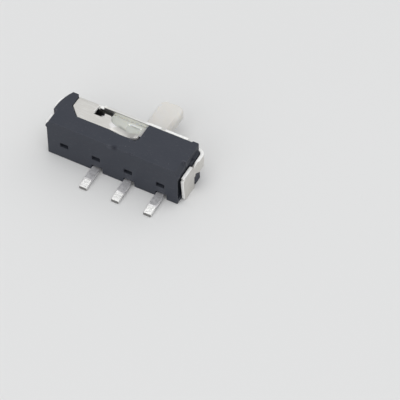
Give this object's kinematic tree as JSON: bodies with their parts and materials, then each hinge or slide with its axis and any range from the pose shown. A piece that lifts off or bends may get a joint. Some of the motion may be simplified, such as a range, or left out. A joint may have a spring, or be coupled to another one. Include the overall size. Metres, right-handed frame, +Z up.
{
  "type": "slide switch",
  "caption": "Miniature right-angle slide switch: moulded housing in a stamped sheet frame, with a side knob that slides to either end of its slot and solder terminals behind.",
  "frame": {"origin": "middle of the body's underside, on the mounting face, halfway along the housing and halfway between the front plate and the rear face", "axes": "+X along the housing's length and the knob's travel, -Y the way the knob points, +Y the way the terminals point, +Z up from the mounting face"},
  "size_m": [0.009, 0.0066, 0.0026],
  "materials": {
    "housing_plastic": "matte moulded",
    "frame_sheet": "satin plated",
    "knob_plastic": "matte moulded",
    "contact_bronze": "bright rolled",
    "terminal_plating": "bright plated"
  },
  "bodies": {
    "base": {"housing": "housing_plastic", "cover_frame": "frame_sheet", "terminal_1": "terminal_plating", "terminal_2": "terminal_plating", "terminal_3": "terminal_plating"},
    "slider": {"slider": "knob_plastic", "moving_contact": "contact_bronze"}
  },
  "joints": [
    {"name": "slider_slide", "type": "slide", "parent": "base", "child": "slider", "axis": [1, 0, 0], "range_m": [0, 0.0023]}
  ]
}
